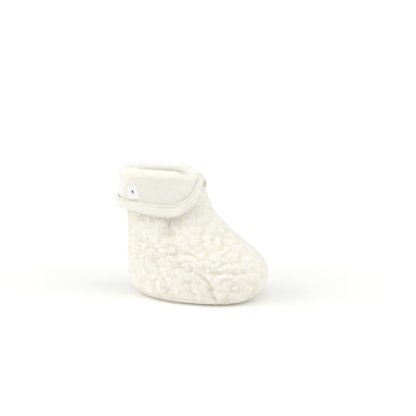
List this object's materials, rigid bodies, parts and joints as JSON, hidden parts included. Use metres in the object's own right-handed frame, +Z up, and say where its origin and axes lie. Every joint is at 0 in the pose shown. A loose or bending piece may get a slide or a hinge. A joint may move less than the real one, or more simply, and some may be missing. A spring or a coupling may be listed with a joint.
{
  "type": "baby bootie",
  "caption": "Soft baby bootie in curly pile fabric, with a plush lining turned down over the shaft as a deep cuff with a bound edge and a small woven label.",
  "frame": {"origin": "on the ground, below the middle of the bounding box", "axes": "+X to the toe, +Y to the wearer's left, +Z up"},
  "size_m": [0.1245, 0.0604, 0.108],
  "materials": {
    "pile_fabric": "curly ivory pile, matt",
    "plush_lining": "short smooth ivory plush",
    "wadding": "white fibre wadding",
    "binding": "brushed ivory knit strip",
    "thread": "ivory sewing thread",
    "woven_label": "white woven tape"
  },
  "bodies": {
    "boot": {"outer_sole": "pile_fabric", "vamp": "pile_fabric", "left_quarter": "pile_fabric", "right_quarter": "pile_fabric", "sole_wadding": "wadding", "insole": "plush_lining", "left_lining": "plush_lining", "right_lining": "plush_lining", "sole_seam": "thread", "back_seam": "thread", "left_vamp_seam": "thread", "right_vamp_seam": "thread"},
    "cuff": {"left_cuff": "plush_lining", "right_cuff": "plush_lining", "cuff_back_seam": "thread", "cuff_front_seam": "thread", "woven_label": "woven_label"},
    "binding": {"cuff_binding": "binding", "binding_stitching": "thread"}
  },
  "joints": [
    {"name": "cuff_turn", "type": "slide", "parent": "boot", "child": "cuff", "axis": [0, 0, 1], "range_m": [0, 0.026]},
    {"name": "binding_turn", "type": "slide", "parent": "boot", "child": "binding", "axis": [0, 0, 1], "range_m": [0, 0.0481]}
  ],
  "couplings": [
    {"joint": "binding_turn", "follows": "cuff_turn", "ratio": 1.85}
  ]
}
